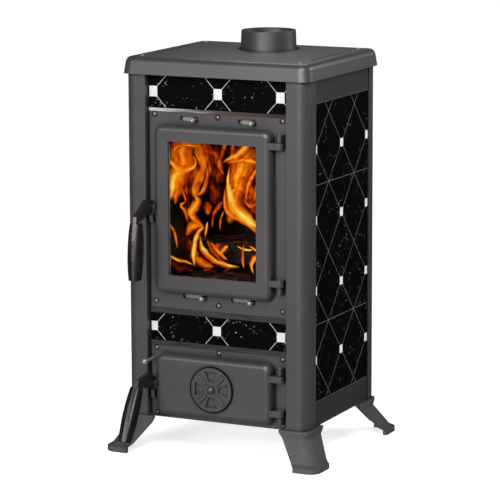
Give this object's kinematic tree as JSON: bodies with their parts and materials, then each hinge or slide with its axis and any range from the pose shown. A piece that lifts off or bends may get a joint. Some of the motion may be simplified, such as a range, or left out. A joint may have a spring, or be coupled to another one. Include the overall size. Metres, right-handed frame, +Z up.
{
  "type": "wood stove",
  "caption": "Upright cast-iron wood stove with tiled sides, a glazed fire door over an ash door, sliding air controls, a shaking grate and a top flue collar, on splayed legs.",
  "frame": {"origin": "on the floor, at the middle of the stove's outer box", "axes": "+X to the stove's right seen from the front, -Y to the front, +Z up"},
  "size_m": [0.511, 0.5557, 0.9064],
  "materials": {
    "stove_paint": "matt heat paint",
    "leg_iron": "rough cast, painted",
    "dark_sheet": "matt black",
    "tile": "satin glaze with pale inlay",
    "trim_metal": "brushed, darkened",
    "bright_steel": "polished",
    "firebrick": "matt, sooted",
    "raw_iron": "raw cast",
    "pan_steel": "dull sheet",
    "glass": "clear heat-proof glass",
    "rope": "braided glass fibre",
    "grip_black": "gloss phenolic"
  },
  "bodies": {
    "stove": {"post_front_left": "stove_paint", "post_front_right": "stove_paint", "post_rear_left": "stove_paint", "post_rear_right": "stove_paint", "top_plate": "stove_paint", "fire_plate": "stove_paint", "ash_plate": "stove_paint", "latch_keepers": "stove_paint", "side_rails": "stove_paint", "side_grilles": "stove_paint", "flue_collar": "stove_paint", "leg_front_left": "leg_iron", "leg_front_right": "leg_iron", "leg_rear_left": "leg_iron", "leg_rear_right": "leg_iron", "base_plate": "dark_sheet", "side_backings": "dark_sheet", "rear_panel": "dark_sheet", "shell_front": "dark_sheet", "shell_left": "dark_sheet", "shell_right": "dark_sheet", "shell_back": "dark_sheet", "shell_roof": "dark_sheet", "ash_shelf": "dark_sheet", "grate_ledges": "dark_sheet", "side_tiles_left": "tile", "side_tiles_right": "tile", "front_tile_upper": "tile", "front_tile_lower": "tile", "front_trims": "trim_metal", "case_screws": "bright_steel", "front_screws": "bright_steel", "frame_bolts": "bright_steel", "hinge_pins": "bright_steel", "firebrick_left": "firebrick", "firebrick_right": "firebrick", "firebrick_back": "firebrick", "baffle_plate": "firebrick", "grate_frame": "raw_iron", "ash_pan": "pan_steel"},
    "fire_leaf": {"fire_door": "stove_paint", "door_glass": "glass", "glass_gasket": "rope", "fire_door_seal": "rope", "glass_clips": "bright_steel", "fire_handle_pivot": "bright_steel"},
    "fire_handle": {"fire_handle_lever": "stove_paint", "fire_handle_grip": "grip_black"},
    "ash_leaf": {"ash_door": "stove_paint", "ash_door_seal": "rope", "ash_handle_pivot": "bright_steel", "spinner_bolt": "bright_steel"},
    "ash_handle": {"ash_handle_lever": "stove_paint", "ash_handle_grip": "grip_black"},
    "spinner": {"air_spinner": "stove_paint"},
    "upper_slide": {"upper_air_slide": "bright_steel"},
    "lower_slide": {"lower_air_slide": "bright_steel"},
    "shaker": {"shaker_rod": "bright_steel", "shaker_grate": "raw_iron"}
  },
  "joints": [
    {"name": "fire_door_hinge", "type": "hinge", "parent": "stove", "child": "fire_leaf", "pos_m": [0.1505, -0.13215, 0.5404], "axis": [0, 0, 1], "range_deg": [0, 115]},
    {"name": "fire_handle_pivot", "type": "hinge", "parent": "fire_leaf", "child": "fire_handle", "pos_m": [-0.1538, -0.13815, 0.5438], "axis": [-1, 0, 0], "range_deg": [0, 60]},
    {"name": "ash_door_hinge", "type": "hinge", "parent": "stove", "child": "ash_leaf", "pos_m": [0.1505, -0.13215, 0.1552], "axis": [0, 0, 1], "range_deg": [0, 115]},
    {"name": "ash_handle_pivot", "type": "hinge", "parent": "ash_leaf", "child": "ash_handle", "pos_m": [-0.1538, -0.13815, 0.1551], "axis": [-1, 0, 0], "range_deg": [0, 25]},
    {"name": "spinner_turn", "type": "hinge", "parent": "ash_leaf", "child": "spinner", "pos_m": [-0.0045, -0.14545, 0.1552], "axis": [0, -1, 0], "range_deg": [0, 45]},
    {"name": "upper_air_slide", "type": "slide", "parent": "stove", "child": "upper_slide", "axis": [-1, 0, 0], "range_m": [0, 0.03]},
    {"name": "lower_air_slide", "type": "slide", "parent": "stove", "child": "lower_slide", "axis": [-1, 0, 0], "range_m": [0, 0.045]},
    {"name": "grate_shaker", "type": "slide", "parent": "stove", "child": "shaker", "axis": [0, -1, 0], "range_m": [0, 0.03]}
  ]
}
